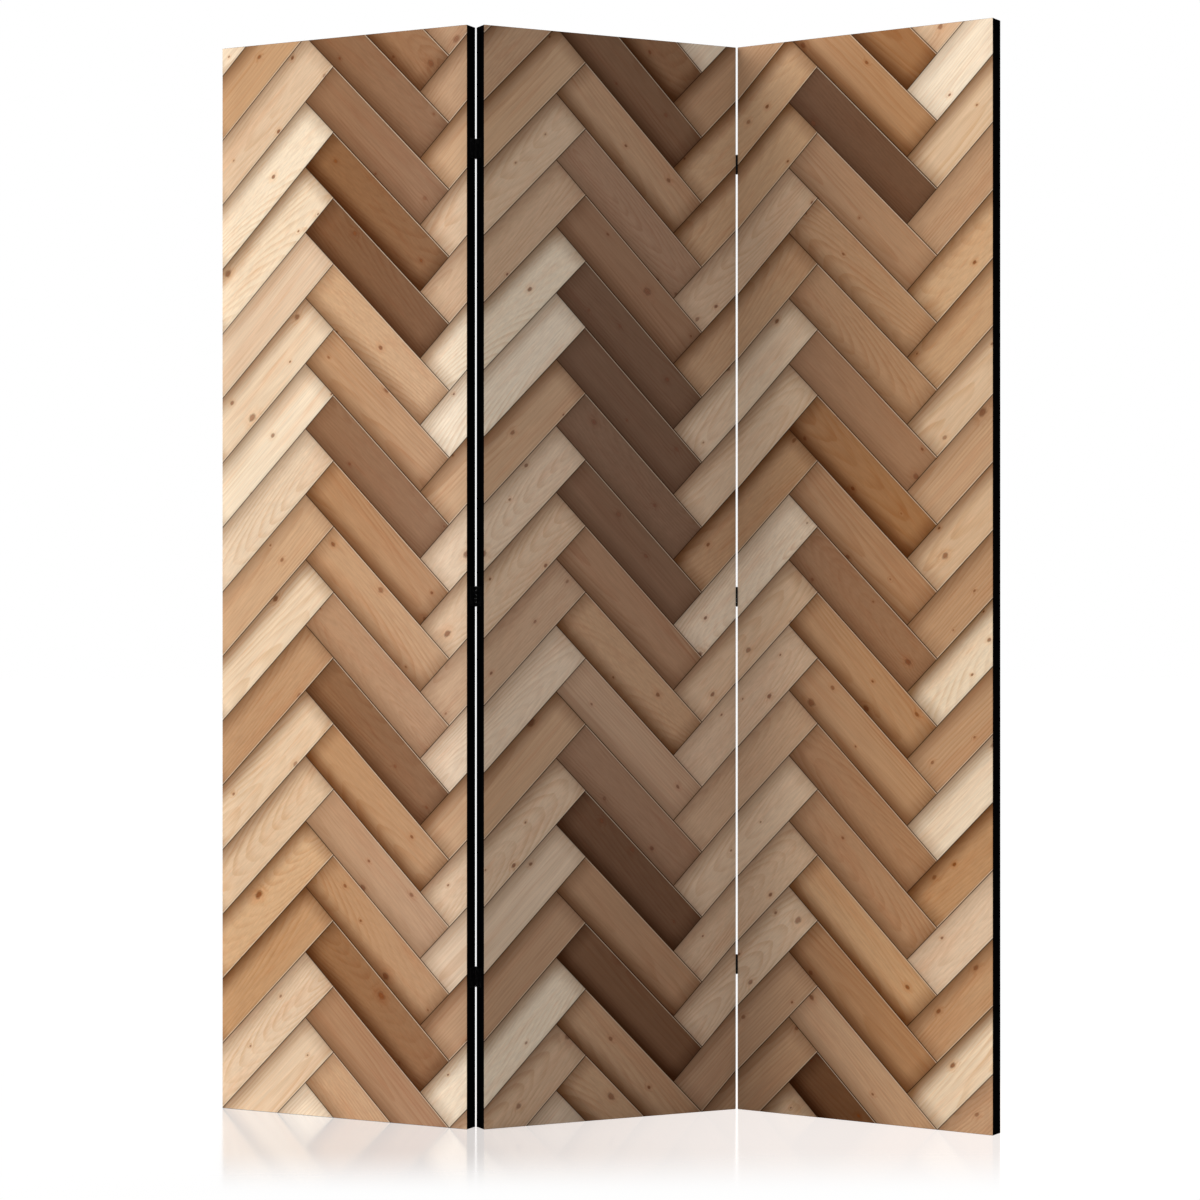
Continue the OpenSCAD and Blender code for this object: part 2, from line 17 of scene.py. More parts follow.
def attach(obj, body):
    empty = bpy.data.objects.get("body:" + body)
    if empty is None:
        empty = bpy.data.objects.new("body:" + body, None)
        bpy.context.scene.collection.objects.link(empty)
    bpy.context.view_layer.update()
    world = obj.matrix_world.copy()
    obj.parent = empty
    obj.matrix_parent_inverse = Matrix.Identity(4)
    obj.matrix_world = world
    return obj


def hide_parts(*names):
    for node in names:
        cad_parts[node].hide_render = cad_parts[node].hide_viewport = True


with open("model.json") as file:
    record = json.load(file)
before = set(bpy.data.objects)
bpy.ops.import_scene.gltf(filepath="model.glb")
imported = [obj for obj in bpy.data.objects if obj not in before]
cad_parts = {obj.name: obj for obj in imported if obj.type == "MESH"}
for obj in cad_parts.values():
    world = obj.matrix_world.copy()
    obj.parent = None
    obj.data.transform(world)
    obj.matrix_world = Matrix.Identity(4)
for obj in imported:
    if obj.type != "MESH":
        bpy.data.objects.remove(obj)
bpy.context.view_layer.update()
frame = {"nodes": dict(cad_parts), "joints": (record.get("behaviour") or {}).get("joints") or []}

# %% [markdown]
# ## Camera
# The photograph was taken with a long lens, level, from a little left of the screen's
# middle. Its lens and place were worked out from the corners of the panels. A level
# camera keeps the upright edges upright, so the picture is centred with a small shift
# and not by tilting the camera.

# %% Camera
PHOTO_SIDE = 1200
FOCAL_PX = 3042
AXIS_PX = (520, 608.5)
SENSOR_MM = 36
CAMERA_PLACE = (-0.130, -4.822, 0.811)

camera_data = bpy.data.cameras.new("camera")
camera_data.sensor_width = SENSOR_MM
camera_data.lens = FOCAL_PX / PHOTO_SIDE * SENSOR_MM
camera_data.shift_x = 0.5 - AXIS_PX[0] / PHOTO_SIDE
camera_data.shift_y = AXIS_PX[1] / PHOTO_SIDE - 0.5
camera = bpy.data.objects.new("camera", camera_data)
bpy.context.scene.collection.objects.link(camera)
camera.location = CAMERA_PLACE
camera.rotation_euler = (math.radians(90), 0, 0)
bpy.context.scene.camera = camera
bpy.context.scene.view_settings.view_transform = "Standard"
print("lens", round(camera_data.lens, 2), "mm")

# %% [markdown]
# ## Where the panels stand
# Each panel is drawn flat, with its front left bottom corner at the origin, X along its
# width, Y from front to back and Z up, and is then turned into the zigzag. The hinge pins
# fix the places: one pin lies behind the left joint and one in front of the right joint,
# each in line with the middle of the narrow slit between its panels and just off their
# faces.

# %% Panels
WIDTH, DEPTH, HEIGHT = 0.450, 0.027, 1.720
HALF_SLIT, PIN_OUT = 0.0007, 0.00115
TURNS = {"left": -27.0, "centre": 25.5, "right": -33.5}
BEHIND_LEFT = (-HALF_SLIT, DEPTH + PIN_OUT)
BEHIND_RIGHT = (WIDTH + HALF_SLIT, DEPTH + PIN_OUT)
BEFORE_LEFT = (-HALF_SLIT, -PIN_OUT)
pins = {joint["name"]: Vector(joint["pos_m"][:2]) for joint in frame["joints"]}


def panel_place(panel, pin, at_pin):
    """The matrix that stands a flat panel up with its point at_pin on a hinge pin."""
    turn = Matrix.Rotation(math.radians(TURNS[panel]), 4, "Z")
    corner = pin - (turn @ Vector((*at_pin, 0))).xy
    return Matrix.Translation((*corner, 0)) @ turn


PLACES = {
    "left": panel_place("left", pins["left_fold"], BEHIND_RIGHT),
    "centre": panel_place("centre", pins["left_fold"], BEHIND_LEFT),
    "right": panel_place("right", pins["right_fold"], BEFORE_LEFT),
}
for panel, place in PLACES.items():
    print(panel, [round(x, 4) for x in place.translation])

# %% [markdown]
# ## Numbers that vary over a surface
# Procedural finishes are sums on numbers that vary from point to point. Written as nodes
# they are hard to read, so a small class wraps a node's socket and lets a sum in Python
# add the Math nodes.

# %% Numbers


def adds(operation, swapped=False):
    """A method that adds one Math node to a number and what it is combined with."""

    def method(self, *others):
        values = (*others, self) if swapped else (self, *others)
        return self.finish.node("Math", {"operation": operation}, dict(enumerate(values)))

    return method


class Number:
    """A number that varies over a surface. A sum on it adds a Math node."""

    __add__ = __radd__ = adds("ADD")
    __mul__ = __rmul__ = adds("MULTIPLY")
    __sub__, __rsub__ = adds("SUBTRACT"), adds("SUBTRACT", swapped=True)
    __truediv__, __rtruediv__ = adds("DIVIDE"), adds("DIVIDE", swapped=True)
    modulo, floor, part = adds("FLOORED_MODULO"), adds("FLOOR"), adds("FRACT")
    size, root = adds("ABSOLUTE"), adds("SQRT")
    least, most = adds("MINIMUM"), adds("MAXIMUM")
    under, over = adds("LESS_THAN"), adds("GREATER_THAN")

    def __init__(self, finish, socket):
        self.finish, self.socket = finish, socket

    def between(self, low, high):
        """Goes straight from low to high as the number goes from 0 to 1."""
        return self * (high - low) + low

    def fade(self, start, end, low=0.0, high=1.0):
        """Goes smoothly from low at start to high at end."""
        settings = {"interpolation_type": "SMOOTHSTEP"}
        sockets = {"Value": self, 1: start, 2: end, 3: low, 4: high}
        return self.finish.node("MapRange", settings, sockets)


print("a number can", [name for name in vars(Number) if not name.startswith("_")])

# %% [markdown]
# ## Finishes
# Everything else that a finish needs comes from one method, which takes a node's type, its
# settings and the values of its sockets. The other methods are short names for the nodes
# that are used often: mixing, noise, chance and bump.

# %% Finishes


class Finish:
    """A material that is built node by node."""

    def __init__(self, name):
        self.material = bpy.data.materials.new(name)
        self.material.use_nodes = True
        self.tree = self.material.node_tree
        self.tree.nodes.clear()

    def node(self, kind, settings=None, sockets=None, output=0):
        """Adds a node, sets it up, joins its sockets and returns one of its outputs."""
        made = self.tree.nodes.new("ShaderNode" + kind)
        for name, value in (settings or {}).items():
            if name == "stops":
                ramp = made.color_ramp
                while len(ramp.elements) < len(value):
                    ramp.elements.new(1)
                for element, (position, colour) in zip(ramp.elements, value):
                    element.position, element.color = position, colour
            else:
                setattr(made, name, value)
        for name, value in (sockets or {}).items():
            if isinstance(value, Number):
                self.tree.links.new(value.socket, made.inputs[name])
            else:
                made.inputs[name].default_value = value
        return Number(self, made.outputs[output]) if made.outputs else None

    def mix(self, share, a, b, blend="MIX"):
        """A colour that goes from a to b as share goes from 0 to 1."""
        settings = {"data_type": "RGBA", "blend_type": blend}
        return self.node("Mix", settings, {0: share, 6: a, 7: b}, 2)

    def choose(self, share, a, b):
        """A number that goes from a to b as share goes from 0 to 1."""
        return self.node("Mix", {"data_type": "FLOAT"}, {0: share, 2: a, 3: b})

    def vector(self, x, y, z=0.0):
        return self.node("CombineXYZ", None, {0: x, 1: y, 2: z})

    def split(self, vector):
        return self.all_of(self.node("SeparateXYZ", None, {0: vector}))

    def all_of(self, number):
        """Every output of the node that a number comes from."""
        return [Number(self, socket) for socket in number.socket.node.outputs]

    def place(self):
        """A point's place on the piece, in metres."""
        return self.node("TexCoord", output="Object")

    def chance(self, vector):
        """Three numbers from 0 to 1 that are the same wherever the vector is."""
        settings = {"noise_dimensions": "3D"}
        colour = self.node("TexWhiteNoise", settings, {"Vector": vector}, "Color")
        return self.all_of(self.node("SeparateColor", None, {0: colour}))

    def noise(self, vector, scale=1.0, detail=2.0, rough=0.5):
        """Soft blotches from 0 to 1, about as many in a metre as scale says."""
        sockets = {"Vector": vector, "Scale": scale, "Detail": detail, "Roughness": rough}
        return self.node("TexNoise", None, sockets)

    def bump(self, height, distance, strength):
        sockets = {"Height": height, "Distance": distance, "Strength": strength}
        return self.node("Bump", None, sockets)

    def finished(self, sockets):
        """Joins a Principled shader to the output and returns the material."""
        shader = self.node("BsdfPrincipled", None, sockets)
        self.node("OutputMaterial", None, {"Surface": shader})
        return self.material


print("a finish can", [name for name in vars(Finish) if not name.startswith("_")])

# %% [markdown]
# ## Colours
# Colours are read off a screen, but nodes count in light. Screens bend that scale: they
# give dark tones more steps than bright ones, and one curve turns a screen's value into
# light.

# %% Colours
SCREEN_TOP = 255
DARK_END, DARK_SLOPE = 0.04045, 12.92
LIFT_OFF, CURVE = 0.055, 2.4


def light_of(value):
    """The light behind a screen's value from 0 to 255."""
    share = value / SCREEN_TOP
    if share < DARK_END:
        return share / DARK_SLOPE
    return ((share + LIFT_OFF) / (1 + LIFT_OFF)) ** CURVE


def tone(red, green, blue):
    """A colour given as it looks on screen, as the light values that nodes use."""
    return (light_of(red), light_of(green), light_of(blue), 1)


WHITE = tone(SCREEN_TOP, SCREEN_TOP, SCREEN_TOP)
print("tan is", [round(c, 3) for c in tone(199, 155, 107)])

# %% [markdown]
# ## Pine
# Pine shows its yearly rings as bands: soft pale wood that darkens to a thin orange line.
# A ring is a tube round the heart of the tree, so the distance from a line along the
# grain, cut into steps, gives straight bands on one face of a board and wide arches on
# another. Years differ, so the steps are uneven, and in places the bands all but vanish.
#
# Knots are the feet of branches: small brown discs with rings of their own, a ragged dark
# rim and a warm glow in the wood, which bends round them. Where resin has gathered, broad
# and fine streaks are redder. One function serves the wooden bars and the boards in the
# print. All its marks are noise that is drawn out along the grain, and what belongs to a
# knot is counted in that knot's own radius.

# %% Pine grain
RING = 0.0044
RING_SPREAD, RING_CHANGES = 1.2, 80
LATE_STARTS, LATE_ENDS = (0.30, 0.88), (0.92, 1.0)
FAINTEST_RING = 0.25
WARP, BEND_AT_KNOT = 0.010, 0.005
KNOT_SPACING = 0.070
KNOT_CHANCE = 0.62
KNOT_STRETCH = 0.72
KNOT_SMALLEST, KNOT_GROWTH = 0.0012, 0.0032
KNOT_RAGGED = (0.55, 1.45)
KNOT_RINGS = 2.8
KNOT_STRENGTH, RIM_STRENGTH, GLOW_STRENGTH = (0.65, 1.0), (0.5, 0.9), (0.5, 1.0)
KNOT_EDGE, GLOW_EDGE = (0.75, 1.05), (0.8, 4.5)
RIM_INNER, RIM_OUTER = (0.6, 1.0), (1.0, 1.6)
BROAD_SHARE, FINE_SHARE = 0.7, 0.6


def pine_grain(finish, x, y, z):
    """How strong each mark of the wood is at a point in metres, with X along the grain."""

    def marks(along, across, detail=2, rough=0.5):
        """Noise with so many marks a metre along the grain and across it."""
        drawn_out = finish.vector(x * along, y * across, z * across)
        return finish.noise(drawn_out, 1, detail, rough)

    cells = {"Vector": finish.vector(x * KNOT_STRETCH, y), "Scale": 1 / KNOT_SPACING}
    nearest = finish.node("TexVoronoi", {"voronoi_dimensions": "2D"}, cells)
    away, lot, *_ = finish.all_of(nearest)
    chance, girth, age = finish.all_of(finish.node("SeparateColor", None, {0: lot}))
    there = chance.under(KNOT_CHANCE)
    radius = girth * girth * KNOT_GROWTH + KNOT_SMALLEST
    reach = away * KNOT_SPACING / radius * marks(160, 260).between(*KNOT_RAGGED)
    knot = there * age.between(*KNOT_STRENGTH) * (1 - reach.fade(*KNOT_EDGE))
    knot_ring = (reach * KNOT_RINGS + age).part().fade(0.1, 0.9)
    in_rim = reach.fade(*RIM_INNER) * (1 - reach.fade(*RIM_OUTER))
    rim = there * age.between(*RIM_STRENGTH) * in_rim
    glow = there * age.between(*GLOW_STRENGTH) * (1 - reach.fade(*GLOW_EDGE))

    heart = (y * y + z * z).root() + marks(4, 18, 3) * WARP + glow * BEND_AT_KNOT
    uneven = finish.noise(finish.vector(heart * RING_CHANGES, 0), 1, 1) * RING_SPREAD
    ring = (heart / RING + uneven).part()
    clear = marks(3, 26).fade(0.38, 0.66, FAINTEST_RING)
    late = ring.fade(*LATE_STARTS) * (1 - ring.fade(*LATE_ENDS)) * clear

    fibre = marks(14, 420, 3, 0.6)
    broad, fine = marks(2.5, 45).fade(0.48, 0.72), marks(9, 170).fade(0.56, 0.72)
    streak = broad * BROAD_SHARE + fine * FINE_SHARE
    return late, fibre, knot, knot_ring, rim, glow, streak


print("a ring is", RING * 1000, "mm wide, and knots are", KNOT_SPACING * 1000, "mm apart")

# %% [markdown]
# ## Colour of pine
# The marks are laid over a plain wood colour one after the other, as glazes are. Most of
# them multiply, so that they darken pale and dark wood alike. Only a knot and its rim
# cover the wood.

# %% Colour of pine
LATE_WOOD, LATE_SHARE = (0.80, 0.62, 0.44, 1), 0.46
RESIN, RESIN_SHARE = (0.92, 0.72, 0.58, 1), 0.50
KNOT_GLOW, GLOW_SHARE = (0.90, 0.62, 0.38, 1), 0.45
KNOT_RIM, RIM_SHARE = tone(104, 62, 34), 0.60
KNOT_PALE, KNOT_DARK, KNOT_COVER = tone(156, 82, 34), tone(92, 44, 18), 0.85


def pine_colour(finish, plain, grain, depth=1.0):
    """Lays rings, streaks, fibres and knots over a plain wood colour."""
    late, fibre, knot, knot_ring, rim, glow, streak = grain
    colour = finish.mix(late * (LATE_SHARE * depth), plain, LATE_WOOD, "MULTIPLY")
    colour = finish.mix(streak * (RESIN_SHARE * depth), colour, RESIN, "MULTIPLY")
    colour = finish.mix(depth, colour, fibre.between(0.80, 1.20), "MULTIPLY")
    colour = finish.mix(glow * GLOW_SHARE, colour, KNOT_GLOW, "MULTIPLY")
    colour = finish.mix(rim * RIM_SHARE, colour, KNOT_RIM)
    knot_wood = finish.mix(knot_ring, KNOT_PALE, KNOT_DARK)
    return finish.mix(knot * KNOT_COVER, colour, knot_wood)


print("late wood keeps", LATE_WOOD[:3], "of the plain colour")

# %% [markdown]
# ## The print
# One print runs on over all three canvases and stops at their front edges. It shows a
# herringbone floor of pine boards: an old and common pattern, in warm wood colours. It
# could be a picture file, but a pattern that is worked out at every point stays sharp
# however near one looks, and needs nothing beside this script.
#
# A herringbone is a grid of squares that is turned by 45 degrees. Walking along a diagonal
# of the grid, one meets a board's four lying squares and then its neighbour's four upright
# ones, so the difference of column and row tells which board a square belongs to, and how
# far along it lies.

# %% Herringbone boards
BOARD = 0.074
SQUARES = 4
LENGTH = BOARD * SQUARES
RUN = 2 * SQUARES


def herringbone(finish, u, v):
    """How far along and across its board a point lies, whether it is a lying board, and the
    board's three chances. The point and the distances are in metres."""
    slant = math.sqrt(0.5) / BOARD
    over, up = (u + v) * slant, (v - u) * slant
    column, row = over.floor(), up.floor()
    step = (column - row).modulo(RUN)
    lies = step.under(SQUARES - 0.5)
    back = RUN - 1 - step
    along = finish.choose(lies, back + (up - row), step + (over - column))
    across = finish.choose(lies, over - column, up - row)
    first_column = finish.choose(lies, column, column - step)
    first_row = finish.choose(lies, row - back, row)
    chances = finish.chance(finish.vector(first_column, first_row, lies))
    return along * BOARD, across * BOARD, lies, chances


print("boards of", BOARD * 1000, "x", LENGTH * 1000, "mm")

# %% [markdown]
# ## Wood of the printed boards
# Each board comes from its own tree: its chances choose the colour, and move and tilt the
# heart of the rings. The lying boards are the paler ones. Boards also differ in how strong
# their colour is, and they grow calmer towards the middle of the three panels.

# %% Wood of the printed boards
WOODS = [
    (0.00, tone(112, 76, 50)),
    (0.30, tone(172, 125, 85)),
    (0.60, tone(212, 171, 130)),
    (1.00, tone(250, 230, 202)),
]
LIGHTNESS, LYING_PALER = (0.02, 0.58), 0.40
SHIFT_ALONG = 7
HEART_ASIDE, HEART_DEEP = (-0.05, 0.05), (0.012, 0.062)
TILT = 0.175
PRINT_MIDDLE = WIDTH * 1.5
CALM_TO_FULL = (0.05, 0.60)
STRENGTH, OUTER_STRONGER = (0.77, 0.89), 0.15


def board_wood(finish, board, u):
    """The colour of the print's boards before light and shadow."""
    along, across, lies, (first, second, third) = board
    y = across - BOARD / 2 + first.between(*HEART_ASIDE)
    z = second.between(*HEART_DEEP) + (along - LENGTH / 2) * third.between(-TILT, TILT)
    grain = pine_grain(finish, along + third * SHIFT_ALONG, y, z)
    lightness = first.between(*LIGHTNESS) + lies * LYING_PALER
    plain = finish.node("ValToRGB", {"stops": WOODS}, {0: lightness})
    colour = pine_colour(finish, plain, grain)
    outer = (u - PRINT_MIDDLE).size().fade(*CALM_TO_FULL)
    strength = second.between(*STRENGTH) + outer * OUTER_STRONGER
    return finish.node("HueSaturation", None, {"Saturation": strength, "Color": colour})


print(len(WOODS), "wood colours")

# %% [markdown]
# ## Depth of the printed boards
# The print looks deep, as if each board stood a little lower than the one beside it. Warm
# shadow lies along one long side and, more faintly, at both ends, and is deeper on some
# boards than on others. The other long side has a fine bright arris, all edges are slightly
# darker, and a thin dark joint parts the boards. All this is colour and not shape, because
# on the screen it is ink on flat cloth.

# %% Depth of the printed boards
SHADOW, SIDE_LIGHT, END_LIGHT = 0.030, 0.18, 0.55
SHADE, SHADE_DEPTH = (0.30, 0.20, 0.13, 1), (0.4, 1.2)
EASED, EASED_LIGHT = 0.007, 0.84
ARRIS, ARRIS_SHARE = tone(250, 232, 206), 0.35
ARRIS_FROM, ARRIS_TO = 0.0008, 0.0022
JOINT, JOINT_SHARE = tone(54, 33, 20), 0.85
JOINT_EDGE = (0.0003, 0.0012)


def board_depth(finish, board, colour, light):
    """Gives the boards shadows, a bright arris and dark joints."""
    along, across, lies, (_, second, _) = board
    end = along.least(LENGTH - along)
    edge = across.least(BOARD - across).least(end)
    lower = finish.choose(lies, across, BOARD - across)
    lit = lower.fade(0.0, SHADOW, SIDE_LIGHT) * end.fade(0.0, SHADOW, END_LIGHT)
    shaded = (1 - lit) * second.between(*SHADE_DEPTH)
    colour = finish.mix(shaded, colour, SHADE, "MULTIPLY")
    bevel = edge.fade(0.0, EASED, EASED_LIGHT)
    colour = finish.mix(1.0, colour, bevel * light, "MULTIPLY")
    upper = BOARD - lower
    arris = upper.under(ARRIS_TO) * upper.over(ARRIS_FROM)
    colour = finish.mix(arris * ARRIS_SHARE, colour, ARRIS)
    joint = 1 - edge.fade(*JOINT_EDGE)
    return finish.mix(joint * JOINT_SHARE, colour, JOINT)


print("shadows reach", SHADOW * 1000, "mm over a board")

# %% [markdown]
# ## Canvas weave
# Artist's canvas is a plain weave: each thread passes over one and under the next, so seen
# closely it is a chequer of short round bars that lie across and upright in turn. Real
# threads are thicker in places, which a noise along them gives. Modelled threads would be
# millions of faces, so the weave is a height that a bump turns into light and shade.

# %% Weave
THREAD = 0.0007


def weave(finish, u, v):
    """Height of a plain weave, from 0 between the threads to 1 on top of one."""
    across, up = u / THREAD, v / THREAD
    upright = (across.floor() + up.floor()).modulo(2)
    in_across, in_up = across.part().between(-1, 1), up.part().between(-1, 1)
    round_bar = 1 - finish.choose(upright, in_up * in_up, in_across * in_across)
    thickness = finish.noise(finish.vector(u * 900, v * 60)).between(0.7, 1.3)
    return round_bar * thickness


print("threads", THREAD * 1000, "mm apart")

# %% [markdown]
# ## Printed canvas
# The ink lies in the cloth and stays matt. The print ends at the front edges and the cloth
# is printed black round the sides and over most of the hem, up to the raw white strip along
# the cut. Two UV maps carry this: one runs on from panel to panel for the print, and one
# starts anew on each canvas and measures the cloth as it was cut.

# %% Printed canvas
SHADED_BLACK_GAPS, LIT_BLACK_THREADS = tone(1, 1, 2), tone(14, 14, 15)
BARE_COTTON = tone(232, 228, 218)
PRINT_ENDS = -0.0004
BLACK_ENDS = 0.041
FRAYED = 0.0016


def printed_canvas():
    """The cloth's printed side: boards in front, black at the sides, bare along the cut."""
    finish = Finish("printed canvas")
    on_print = finish.node("UVMap", {"uv_map": "print"})
    on_cut = finish.node("UVMap", {"uv_map": "cut"})
    u, v, _ = finish.split(on_print)
    p, q, _ = finish.split(on_cut)
    board = herringbone(finish, u, v)
    light = finish.noise(on_print, 1.1, 1).between(0.80, 1.20)
    colour = board_depth(finish, board, board_wood(finish, board, u), light)
    threads = weave(finish, p, q)
    # Painted shade: the black is darker in the gaps between the threads than on their tops.
    black = finish.mix(threads * 0.6, SHADED_BLACK_GAPS, LIT_BLACK_THREADS)
    past = (0 - p).most(p - WIDTH).most((0 - q).most(q - HEIGHT))
    colour = finish.mix(past.over(PRINT_ENDS), colour, black)
    bare = (past + finish.noise(on_cut, 260, 3) * FRAYED).over(BLACK_ENDS)
    colour = finish.mix(bare, colour, BARE_COTTON)
    # Painted shade: the whole cloth is a little darker in the weave's gaps and lighter on the
    # threads' tops.
    colour = finish.mix(1.0, colour, threads.between(0.97, 1.02), "MULTIPLY")
    return finish.finished({
        "Base Color": colour,
        "Roughness": threads.between(0.72, 0.60),
        "Specular IOR Level": 0.0,
        "Normal": finish.bump(threads, 0.00007, 0.6),
    })


canvas_front = printed_canvas()
print(len(canvas_front.node_tree.nodes), "nodes")

# %% [markdown]
# ## Back of the canvas
# Seen between the bars, the cloth is as it came off the loom: warm off-white, with thicker
# threads here and there and a few darker specks of husk. Noise that is drawn out along the
# cloth's two directions gives those threads, and the weave is the same as in front.

# %% Back of the canvas
COTTON_DIM, COTTON_PALE = tone(222, 212, 190), tone(238, 231, 214)
HUSK = tone(150, 122, 84)


def raw_canvas():
    """The cloth's inner side, which was never printed."""
    finish = Finish("raw canvas")
    on_cut = finish.node("UVMap", {"uv_map": "cut"})
    p, q, _ = finish.split(on_cut)
    threads = weave(finish, p, q)
    weft = finish.noise(finish.vector(p * 9, q * 1400))
    warp = finish.noise(finish.vector(p * 1400, q * 9))
    specks = finish.noise(on_cut, 420, 1).fade(0.72, 0.78)
    colour = finish.mix(finish.noise(on_cut, 5, 3), COTTON_DIM, COTTON_PALE)
    # Uneven threads vary the colour, and the weave's height adds painted shade: the gaps between
    # threads are darker than the threads' tops.
    strands_and_gap_shade = weft * 0.16 + warp * 0.12 + threads * 0.08
    colour = finish.mix(1.0, colour, strands_and_gap_shade + 0.80, "MULTIPLY")
    colour = finish.mix(specks * 0.5, colour, HUSK)
    return finish.finished({
        "Base Color": colour,
        "Roughness": 0.85,
        "Specular IOR Level": 0.15,
        "Normal": finish.bump(threads + weft * 0.8 + warp * 0.6, 0.00010, 0.7),
    })


canvas_back = raw_canvas()
print(len(canvas_back.node_tree.nodes), "nodes")

# %% [markdown]
# ## Stretching a canvas
# The cloth is pulled tight over the frame: flat in front, turned round the edge with a
# small radius, down the sides, and onto the back as a hem. It is modelled in the order in
# which it is stretched. A grid makes the front; its border is extruded back for the sides
# and again inwards for the hem, which gives the mitre at each corner. A trial canvas shows
# what each step makes.

# %% Canvas blank
HEM = 0.028
GRID = (16, 61)


def pick(obj, parts, test):
    """Selects the vertices, edges or faces for which test is true, in edit mode."""
    mesh = bmesh.from_edit_mesh(obj.data)
    bpy.ops.mesh.select_all(action="DESELECT")
    for part in getattr(mesh, parts):
        if test(part):
            part.select_set(True)
    mesh.select_flush_mode()
    bmesh.update_edit_mesh(obj.data)


def canvas_blank(name):
    """A canvas with square edges: its front, its four sides and its hem."""
    bpy.ops.object.select_all(action="DESELECT")
    bpy.ops.mesh.primitive_grid_add(
        x_subdivisions=GRID[0], y_subdivisions=GRID[1], size=1,
        location=(WIDTH / 2, 0, HEIGHT / 2), rotation=(math.radians(90), 0, 0),
    )
    cloth = bpy.context.object
    cloth.name = name
    cloth.scale = (WIDTH, HEIGHT, 1)
    bpy.ops.object.transform_apply(location=True, rotation=True, scale=True)
    bpy.ops.object.mode_set(mode="EDIT")
    bpy.ops.mesh.select_mode(type="EDGE")
    pick(cloth, "edges", lambda edge: edge.is_boundary)
    bpy.ops.mesh.extrude_region_move(TRANSFORM_OT_translate={"value": (0, DEPTH, 0)})
    bpy.ops.mesh.extrude_region_move(TRANSFORM_OT_translate={"value": (0, 0, 0)})
    bpy.ops.transform.resize(
        value=(1 - 2 * HEM / WIDTH, 1, 1 - 2 * HEM / HEIGHT),
        center_override=(WIDTH / 2, DEPTH, HEIGHT / 2),
    )
    bpy.ops.object.mode_set(mode="OBJECT")
    return cloth


trial = canvas_blank("trial")
print(len(trial.data.polygons), "faces in the blank")

# %% [markdown]
# ## Rounded edges
# Cloth can't turn a sharp corner, so Bevel gives the front edges and the four corner edges
# that run from front to back a radius.

# %% Rounded edges
EDGE_ROUND = 0.0010
ROUND_STEPS = 4
NEAR = 1e-4


def gaps_to_rim(point):
    """How far inside each of the panel's four outer edges a point lies."""
    return {
        "left": point.x,
        "right": WIDTH - point.x,
        "bottom": point.z,
        "top": HEIGHT - point.z,
    }


def on_rim(point):
    """How many of the panel's four outer edges a point lies on."""
    return sum(abs(gap) < NEAR for gap in gaps_to_rim(point).values())


def is_sharp(edge):
    """Whether an edge lies on the front's border or runs back from one of its corners."""
    ends = [vertex.co for vertex in edge.verts]
    middle = sum(ends, Vector()) / 2
    in_front = all(abs(end.y) < NEAR and on_rim(end) for end in ends)
    at_corner = all(on_rim(end) == 2 for end in ends)
    return (in_front and on_rim(middle) > 0) or at_corner


def round_edges(cloth):
    bpy.ops.object.mode_set(mode="EDIT")
    bpy.ops.mesh.select_mode(type="EDGE")
    pick(cloth, "edges", is_sharp)
    bpy.ops.mesh.bevel(offset=EDGE_ROUND, segments=ROUND_STEPS, affect="EDGES")
    bpy.ops.object.mode_set(mode="OBJECT")


round_edges(trial)
print(len(trial.data.polygons), "faces with rounded edges")

# %% [markdown]
# ## Corner tucks
# At the back of each corner the spare cloth is folded under the hem. That makes a raised
# triangle on one side of the mitre: Bisect cuts its third side, and extruding it gives it
# the thickness of two more layers.

# %% Corner tucks
TUCK = 0.001


def in_tuck(face, reach):
    """Whether a face of the hem lies under a corner's mitre, and no further in than reach."""
    middle = face.calc_center_median()
    x, z = min(middle.x, WIDTH - middle.x), min(middle.z, HEIGHT - middle.z)
    return middle.y > DEPTH - NEAR and z < x < reach and z < HEM


def tuck_corners(cloth):
    bpy.ops.object.mode_set(mode="EDIT")
    bpy.ops.mesh.select_mode(type="FACE")
    for x in (HEM, WIDTH - HEM):
        pick(cloth, "faces", lambda face: in_tuck(face, WIDTH))
        bpy.ops.mesh.bisect(plane_co=(x, DEPTH, 0), plane_no=(1, 0, 0))
    pick(cloth, "faces", lambda face: in_tuck(face, HEM))
    bpy.ops.mesh.extrude_region_move(TRANSFORM_OT_translate={"value": (0, TUCK, 0)})
    bpy.ops.object.mode_set(mode="OBJECT")


tuck_corners(trial)
raised = sum(vertex.co.y > DEPTH + NEAR for vertex in trial.data.vertices)
print(len(trial.data.polygons), "faces;", raised, "corners of the tucks raised")

# %% [markdown]
# ## Where the cloth was cut from
# The two UV maps unfold the cloth: the sides and the hem continue outwards from the front,
# each as far past the print's edge as the cloth runs round the frame. Blender's own
# unwrapping chooses a place and a scale of its own, so each point is worked out here. Which
# side a face belongs to follows from the way it points, and on the hem from the mitre.

# %% Unfolding
BEFORE = {"left": 0, "centre": 1, "right": 2}


def in_hem(face):
    """Whether a face belongs to the hem or to a tucked corner on it."""
    return face.center.y > DEPTH - NEAR


def side_of(face):
    """left, right, bottom or top for a face of the sides or the hem, None for the front."""
    middle, normal = face.center, face.normal
    if middle.y < EDGE_ROUND - NEAR:
        return None
    if in_hem(face):
        gaps = gaps_to_rim(middle)
        return min(gaps, key=gaps.get)
    if abs(normal.x) > abs(normal.z):
        return "left" if normal.x < 0 else "right"
    return "bottom" if normal.z < 0 else "top"


def cut_point(side, point, on_hem):
    """Where a point lay before the cloth was folded, in metres from the print's corner."""
    run = point.y - EDGE_ROUND
    if on_hem:
        run = DEPTH - EDGE_ROUND + gaps_to_rim(point).get(side, 0)
    return {
        None: (point.x, point.z),
        "left": (-run, point.z),
        "right": (WIDTH + run, point.z),
        "bottom": (point.x, -run),
        "top": (point.x, HEIGHT + run),
    }[side]


